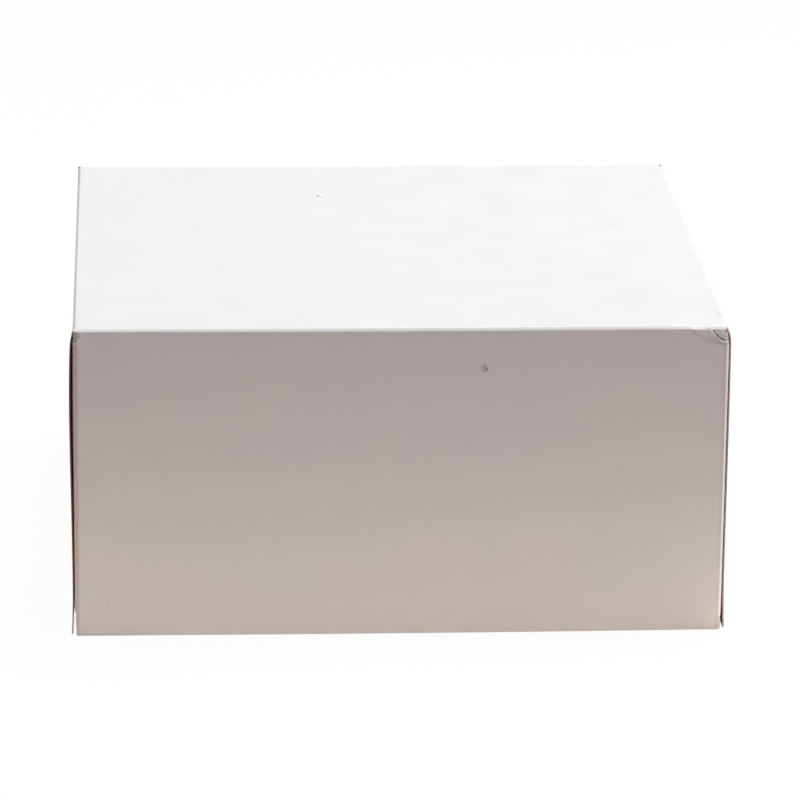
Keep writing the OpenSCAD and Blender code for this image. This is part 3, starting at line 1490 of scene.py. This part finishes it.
@dataclass(frozen=True)
class Viewpoint:
    """Where the photograph was taken from, worked out from the box's corners."""

    place_mm: Point = (-91.5, -1739.2, 578.4)
    heading_deg: float = 3.206
    down_deg: float = 16.872
    roll_deg: float = 0.578
    focal_px: float = 4987.5
    frame_px: float = 800.0
    sensor_mm: float = 36.0

    def build(self) -> bpy.types.Object:
        """Sets up the camera.

        Returns:
            The scene's camera.
        """
        data = bpy.data.cameras.new("camera")
        data.sensor_width = self.sensor_mm
        data.lens = self.focal_px / self.frame_px * self.sensor_mm
        camera = bpy.data.objects.new("camera", data)
        turn = Matrix.Rotation(-math.radians(self.heading_deg), 4, "Z")
        tilt = Matrix.Rotation(math.radians(90.0 - self.down_deg), 4, "X")
        roll = Matrix.Rotation(math.radians(self.roll_deg), 4, "Z")
        camera.matrix_world = Matrix.Translation(Vector(self.place_mm) * MM) @ turn @ tilt @ roll
        bpy.context.scene.collection.objects.link(camera)
        bpy.context.scene.camera = camera
        return camera


@dataclass(frozen=True)
class Lamp:
    """A soft rectangular lamp that faces a point, and doesn't show itself to the camera."""

    name: str
    place: Point
    aim: Point
    size: tuple[float, float]
    power: float
    colour: tuple[float, float, float] = (1.0, 1.0, 1.0)

    def build(self) -> bpy.types.Object:
        """Hangs the lamp and turns it to its point.

        Returns:
            The lamp.
        """
        data = bpy.data.lights.new(self.name, "AREA")
        data.shape = "RECTANGLE"
        data.size, data.size_y = self.size
        data.energy = self.power
        data.color = self.colour
        lamp = bpy.data.objects.new(self.name, data)
        lamp.location = self.place
        lamp.rotation_euler = (Vector(self.aim) - Vector(self.place)).to_track_quat("-Z", "Y").to_euler()
        lamp.visible_camera = False
        bpy.context.scene.collection.objects.link(lamp)
        return lamp


@dataclass
class Studio:
    """The white table, the soft lamps and the pale surroundings."""

    lamps: tuple[Lamp, ...] = (
        Lamp("overhead", (0.16, 0.1, 1.6), (0.0, 0.0, 0.0), (1.6, 1.6), 34.9, (0.952, 0.965, 0.995)),
        Lamp("right_side", (1.35, 0.3, 0.28), (0.1, 0.15, 0.05), (0.7, 0.4), 8.5, (1.0, 0.98, 0.95)),
    )
    glow_w: float = 0.1
    glow_l: float = 0.46
    side_glow_l: float = 0.26
    right_glow: float = 1.4
    glow_gap: float = 0.5 * MM
    glow_z: float = 0.03 * MM
    glow_power: float = 0.0885
    glow_colour: tuple[float, float, float] = (1.0, 0.862, 0.732)
    ambient: Colour = (1.0, 0.595, 0.405, 1.0)
    ambient_strength: float = 0.037
    table_half: float = 4.0
    table_edge: float = 0.6 * MM
    table_roughness: float = 0.9
    table_shine: float = 0.1
    table_bounce: Colour = (0.62, 0.55, 0.54, 1.0)
    table_white: Colour = (1.0, 1.0, 1.0, 1.0)
    white_share: float = 0.94

    def build(self) -> None:
        """Builds the surroundings, the lamps and the table."""
        self._surroundings()
        for lamp in (*self.lamps, *self._glow()):
            lamp.build()
        self._table()

    def _glow(self) -> list[Lamp]:
        """Four low lamps that light the walls from the table round the box, as a lit table does.

        Returns:
            The lamps.
        """
        out_x = CAD_HIGH.x + self.glow_gap + self.glow_w / 2.0
        out_y = CAD_HIGH.y + self.glow_gap + self.glow_w / 2.0
        beside = (self.glow_w, self.side_glow_l)
        strips = (
            ("left", -out_x, 0.0, beside, 1.0),
            ("right", out_x, 0.0, beside, self.right_glow),
            ("front", 0.0, -out_y, (self.glow_l, self.glow_w), 1.0),
            ("back", 0.0, out_y, (self.side_glow_l, self.glow_w), 1.0),
        )
        lamps = []
        for name, x, y, size, share in strips:
            place, aim = (x, y, self.glow_z), (x, y, 1.0)
            power = self.glow_power * max(size) / self.glow_l * share
            lamps.append(Lamp(f"glow_{name}", place, aim, size, power, self.glow_colour))
        return lamps

    def _surroundings(self) -> None:
        """White to the camera, and a weak warm light to the object."""
        world = bpy.data.worlds.new("surroundings")
        world.use_nodes = True
        bpy.context.scene.world = world
        graph = Graph(world.node_tree)
        nodes = world.node_tree.nodes
        soft = nodes["Background"]
        soft.inputs["Color"].default_value = self.ambient
        soft.inputs["Strength"].default_value = self.ambient_strength
        white = graph.add("ShaderNodeBackground", {"Color": (1.0, 1.0, 1.0, 1.0), "Strength": 1.0})
        path = graph.add("ShaderNodeLightPath")
        mix = graph.add("ShaderNodeMixShader", {0: path.outputs["Is Camera Ray"]})
        graph.feed(soft.outputs[0], mix.inputs[1])
        graph.feed(white.outputs[0], mix.inputs[2])
        graph.feed(mix.outputs[0], nodes["World Output"].inputs["Surface"])

    def _table(self) -> None:
        """A table top that the camera sees as white, with the box's soft shadow kept."""
        sheet = bmesh.new()
        bmesh.ops.create_grid(sheet, x_segments=1, y_segments=1, size=self.table_half)
        mesh = bpy.data.meshes.new("table")
        sheet.to_mesh(mesh)
        sheet.free()
        table = bpy.data.objects.new("table", mesh)
        bpy.context.scene.collection.objects.link(table)
        mesh.materials.append(self._table_finish())

    def _table_finish(self) -> bpy.types.Material:
        """White to the camera outside the box's footprint, and plain pale paint to everything else.

        Returns:
            The table's material.
        """
        material = bpy.data.materials.new("table_paint")
        material.use_nodes = True
        graph = Graph(material.node_tree)
        nodes = material.node_tree.nodes
        paint = nodes["Principled BSDF"]
        paint.inputs["Base Color"].default_value = self.table_bounce
        paint.inputs["Roughness"].default_value = self.table_roughness
        paint.inputs["Specular IOR Level"].default_value = self.table_shine
        place = graph.add("ShaderNodeSeparateXYZ", {0: graph.add("ShaderNodeTexCoord").outputs["Object"]})
        low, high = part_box("tray")
        across = graph.maths("ABSOLUTE", place.outputs["X"])
        beside = graph.remap(across, high.x - self.table_edge, high.x)
        before = graph.remap(place.outputs["Y"], low.y, low.y + self.table_edge, 1.0, 0.0)
        behind = graph.remap(place.outputs["Y"], high.y - self.table_edge, high.y)
        outside = graph.maths("MAXIMUM", beside, graph.maths("MAXIMUM", before, behind))
        path = graph.add("ShaderNodeLightPath")
        seen = graph.maths("MULTIPLY", path.outputs["Is Camera Ray"], outside)
        glow = graph.add("ShaderNodeEmission", {"Color": (1.0, 1.0, 1.0, 1.0), "Strength": 1.0})
        lit = graph.add("ShaderNodeBsdfDiffuse", {"Color": self.table_white})
        white = graph.add("ShaderNodeMixShader", {0: self.white_share})
        graph.feed(lit.outputs[0], white.inputs[1])
        graph.feed(glow.outputs[0], white.inputs[2])
        mix = graph.add("ShaderNodeMixShader", {0: seen})
        graph.feed(paint.outputs[0], mix.inputs[1])
        graph.feed(white.outputs[0], mix.inputs[2])
        graph.feed(mix.outputs[0], nodes["Material Output"].inputs["Surface"])
        return material


@dataclass
class CakeBox:
    """The whole box: the cover, and the tray inside it."""

    board: Board = field(default_factory=Board)
    tray_gap: float = 0.6 * MM

    def build(self) -> list[bpy.types.Object]:
        """Builds both halves and their finishes.

        Returns:
            The box's pieces.
        """
        effects = Effects()
        back = KraftFinish().make(effects)
        edge = CutEdgeFinish().make(effects)
        cover_liner = LinerFinish("cover_liner", flecks=COVER_FLECKS).make(effects)
        tray_liner = LinerFinish("tray_liner").make(effects)
        cover = self._cover([cover_liner, back, edge])
        tray = self._tray([tray_liner, back, edge])
        return [cover.build(), tray.build()]

    def _cover(self, finishes: list[bpy.types.Material]) -> FoldedSheet:
        """Sizes the cover from the frame, with the dents and bows that the photograph shows.

        Args:
            finishes: Its white face, its brown back and its cut edge.

        Returns:
            The cover's sheet.
        """
        low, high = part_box("cover")
        tray_low, tray_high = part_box("tray")
        step = self.board.side_step
        return FoldedSheet(
            name="cover_sheet",
            body="cover",
            node="cover",
            slot="cover_board",
            board=self.board,
            panel_w=tray_high.x - tray_low.x + 2.0 * (self.tray_gap + self.board.thickness),
            depth=high.y - low.y,
            height=high.z,
            left=SideCurve(step, end_lean_l=5.5 * MM, end_l=8.0 * MM, bow=0.68 * MM, flare=0.45 * MM),
            right=SideCurve(
                step + 0.3 * MM, end_lean_l=5.0 * MM, lean_l=60.0 * MM, bow=0.12 * MM, flare=0.42 * MM,
                flare_from=0.8, lift=0.7 * MM,
            ),
            front_left=PanelEnd(relief=0.35 * MM, corner_r=0.5 * MM, swell=0.09 * MM),
            front_right=PanelEnd(
                relief=0.15 * MM, flap_relief=4.8 * MM, corner_r=0.9 * MM,
                swell=0.45 * MM, swell_from=0.5 * MM, swell_full=7.0 * MM,
            ),
            crushed_left=Crush(
                CRUSHED_LEFT, reach_p=5.0, reach_q=9.0, blend_q=2.5, sink=0.1 * MM, sink_l=10.0 * MM,
            ),
            crushed_right=Crush(CRUSHED_RIGHT, ruffle=0.08, sink=0.3 * MM),
            turned_over=True,
            belly=0.95 * MM,
            skew=0.39 * MM,
            sag=0.5 * MM,
            back_hold=14.0 * MM,
            wear=ScoreWear(),
            finishes=finishes,
        )

    def _tray(self, finishes: list[bpy.types.Material]) -> FoldedSheet:
        """Sizes the tray from the frame, plainly finished.

        Args:
            finishes: Its white face, its brown back and its cut edge.

        Returns:
            The tray's sheet.
        """
        low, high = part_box("tray")
        side = SideCurve(self.board.side_step, lean_l=6.0 * MM, lift=0.0)
        return FoldedSheet(
            name="tray_sheet",
            body="tray",
            node="tray",
            slot="tray_board",
            board=self.board,
            panel_w=high.x - low.x - 2.0 * self.board.side_step,
            depth=high.y - low.y,
            height=high.z,
            left=side,
            right=side,
            finishes=finishes,
        )


def main() -> None:
    """Builds the view, the studio and the box, and reports each piece."""
    logging.basicConfig(level=logging.INFO, format="%(message)s")
    bpy.context.scene.view_settings.view_transform = "Standard"
    Viewpoint().build()
    Studio().build()
    for piece in CakeBox().build():
        LOG.info("built %s", piece.name)


if __name__ == "__main__":
    main()
